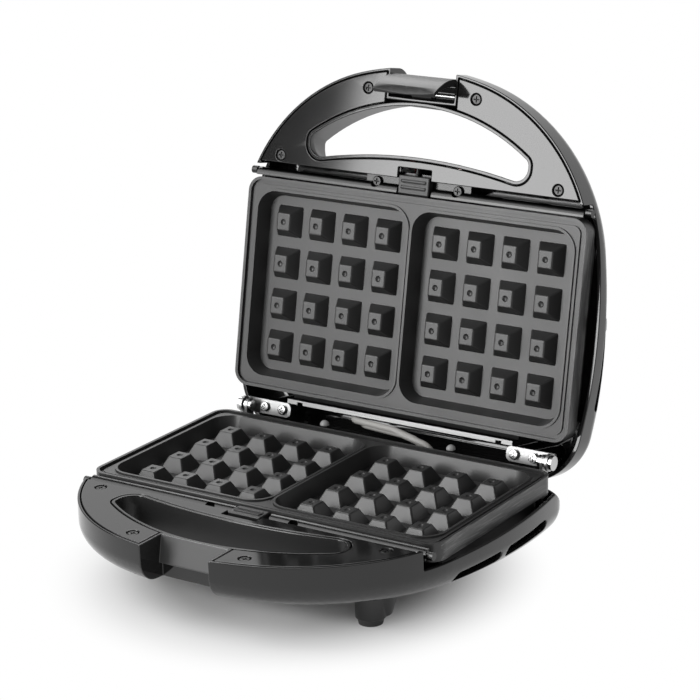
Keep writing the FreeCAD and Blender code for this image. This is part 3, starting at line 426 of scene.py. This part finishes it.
def lean_hole_wall(piece):
    """Leans the rear wall of the lid's finger hole back, as drawn from its mould."""
    weights = piece.vertex_groups.new(name="lean")
    for corner in piece.data.vertices:
        share = lean_at(in_half(corner.co, True))
        if share:
            weights.add([corner.index], share, "REPLACE")
    for axis, part in (("Y", math.cos(lid_turn)), ("Z", -math.sin(lid_turn))):
        push = piece.modifiers.new("lean", "DISPLACE")
        push.direction = axis
        push.vertex_group = "lean"
        push.mid_level = 0
        push.strength = LEAN_FULL * part
        bpy.ops.object.modifier_apply(modifier=push.name)


# Handle covers, catches and latch.
for name in ("base_handle_cover", "lid_handle_cover", "lower_release_catch", "upper_release_catch"):
    soften(copy_of(name))
soften(copy_of("latch_hook"), LATCH_EDGE, LATCH_EDGE_ANGLE)

# Base shell.
base = copy_of("base_shell")
soften(base)
paint(base, "satin", False, in_hole)
# The keeper's slope gets a painted sheen, a lighter tone for the light that it reflects.
paint(base, "keeper", False, on_keeper)
paint(base, "peg", False, on_peg)

# Lid shell. Its hole is painted first, because the test knows the upright wall.
lid = copy_of("lid_shell")
paint(lid, "satin", True, in_lid_hole)
lean_hole_wall(lid)
soften(lid)

# Upper rear strip, with its lower step painted near black as shade.
paint(copy_of("upper_rear_strip"), "tray_steel", True, on_strip_step_painted_shade)

# Screws, with their driver recesses painted near black as shade.
for name, spots, is_lid, short in (
    ("base_cover_screws", COVER_SCREWS, False, 0.0),
    ("lid_cover_screws", COVER_SCREWS, True, LID_SHORT),
    ("lower_rail_screws", RAIL_SCREWS, False, 0.0),
    ("upper_rail_screws", RAIL_SCREWS, True, 0.0),
):
    screws = copy_of(name)
    top = max(in_half(corner.co, is_lid).z for corner in screws.data.vertices)
    paint(screws, "recess", is_lid, in_crosses(spots, short, top))


# Studio, in metres and watts.
def area_light(name, spot, target, width, height, power):
    bpy.ops.object.light_add(type="AREA", location=spot)
    lamp = bpy.context.object
    lamp.name = name
    lamp.data.shape = "RECTANGLE"
    lamp.data.size = width
    lamp.data.size_y = height
    lamp.data.energy = power
    lamp.rotation_euler = (Vector(target) - Vector(spot)).to_track_quat("-Z", "Y").to_euler()


area_light("overhead", (0, 0.1, 1.9), (0, 0, 0), width=1.6, height=1.6, power=3)
area_light("front left", (-0.81, -1.625, 0.62), (0, 0, 0.15), width=0.58, height=1.40, power=27)
area_light("upper left", (-0.99, -0.77, 1.16), (0, 0, 0.15), width=1.2, height=1.2, power=16)
area_light("back left", (-0.86, 1.05, 1.37), (0, 0.1, 0.25), width=0.85, height=0.85, power=12)

WHITE = (1, 1, 1, 1)
FLOOR_SIZE = 12.0
FLOOR_GRAY = (0.5, 0.5, 0.5, 1)
SHADOW_MIDDLE = (0.0, -0.025, 0)
SHADOW_FULL = 0.068
SHADOW_GONE = 0.143
BACKDROP_Y = 1.6
BACKDROP_WIDTH = 6.0
BACKDROP_HEIGHT = 1.2
SKY_DIMS_FROM = 0.4
SKY_DIMMEST_FROM = 0.9
SKY_DIMMEST = 0.25
SKY_LOST_IN_REFLECTIONS = 0.85

# The floor takes the part's shadow near its middle and is plain white further out.
bpy.ops.mesh.primitive_plane_add(size=FLOOR_SIZE, location=(0, 0, 0))
floor = bpy.context.object
floor.name = "floor"
floor_paper = material("floor paper")
shadowed = Sock.add("BsdfDiffuse", None, {"Color": FLOOR_GRAY})
white = Sock.add("Emission", None, {"Color": WHITE, "Strength": 1.0})
apart = Sock.add("VectorMath", {"operation": "SUBTRACT"}, {0: place(), 1: SHADOW_MIDDLE})
distance = Sock.add("VectorMath", {"operation": "LENGTH"}, {0: apart}, "Value")
reach = {"Value": distance, "From Min": SHADOW_FULL, "From Max": SHADOW_GONE}
fade = Sock.add("MapRange", {"interpolation_type": "SMOOTHSTEP"}, reach)
finish_with(floor_paper, Sock.add("MixShader", None, {0: fade, 1: shadowed, 2: white}))
floor.data.materials.append(floor_paper)

upright = (math.radians(90), 0, 0)
bpy.ops.mesh.primitive_plane_add(size=1.0, location=(0, BACKDROP_Y, BACKDROP_HEIGHT / 2), rotation=upright)
backdrop = bpy.context.object
backdrop.name = "backdrop"
backdrop.scale = (BACKDROP_WIDTH, BACKDROP_HEIGHT, 1.0)
bpy.ops.object.transform_apply(location=True, rotation=True, scale=True)
backdrop_paper = material("backdrop paper")
finish_with(backdrop_paper, Sock.add("Emission", None, {"Color": WHITE, "Strength": 1.0}))
backdrop.data.materials.append(backdrop_paper)

# The sky is white to the camera, dimmer overhead, and faint in reflections.
world = bpy.data.worlds.new("studio")
bpy.context.scene.world = world
world.use_nodes = True
world.node_tree.nodes.clear()
Sock.tree = world.node_tree
seen = Sock.add("LightPath", None, None, "Is Camera Ray")
mirrored = Sock.add("LightPath", None, None, "Is Glossy Ray")
height = Sock.add("SeparateXYZ", None, {0: Sock.add("TexCoord", None, None, "Generated")}, "Z")
rise = {"Value": height, "From Min": SKY_DIMS_FROM, "From Max": SKY_DIMMEST_FROM}
dome = Sock.add("MapRange", None, rise | {"To Min": 1.0, "To Max": SKY_DIMMEST})
level = seen + (1.0 - seen) * dome * (1.0 - SKY_LOST_IN_REFLECTIONS * mirrored)
sky = Sock.add("Background", None, {"Color": WHITE, "Strength": level})
finish_with(world, sky, "ShaderNodeOutputWorld")

# The camera, fitted to the photo's plates.
AZIMUTH = math.radians(33.305)
ELEVATION = math.radians(17.487)
ROLL = math.radians(-1.273)
CAMERA_TARGET = Vector((0.021539, 0.0, 0.124001))
CAMERA_DISTANCE = 1.3636
FOCAL_PIXELS = 2506.5
PICTURE_PIXELS = 700
SENSOR_MM = 36.0
CAMERA_SEES_TO = 50
level_out = math.cos(ELEVATION)
back = Vector((math.sin(AZIMUTH) * level_out, -math.cos(AZIMUTH) * level_out, math.sin(ELEVATION)))
level_right = Vector((math.cos(AZIMUTH), math.sin(AZIMUTH), 0))
level_up = back.cross(level_right)
right = level_right * math.cos(ROLL) + level_up * math.sin(ROLL)
up = level_up * math.cos(ROLL) - level_right * math.sin(ROLL)
bpy.ops.object.camera_add()
camera = bpy.context.object
turn = Matrix((right, up, back)).transposed().to_4x4()
camera.matrix_world = Matrix.Translation(CAMERA_TARGET + back * CAMERA_DISTANCE) @ turn
camera.data.sensor_width = SENSOR_MM
camera.data.lens = FOCAL_PIXELS / PICTURE_PIXELS * SENSOR_MM
camera.data.clip_end = CAMERA_SEES_TO
bpy.context.scene.camera = camera
bpy.context.scene.view_settings.view_transform = "Standard"
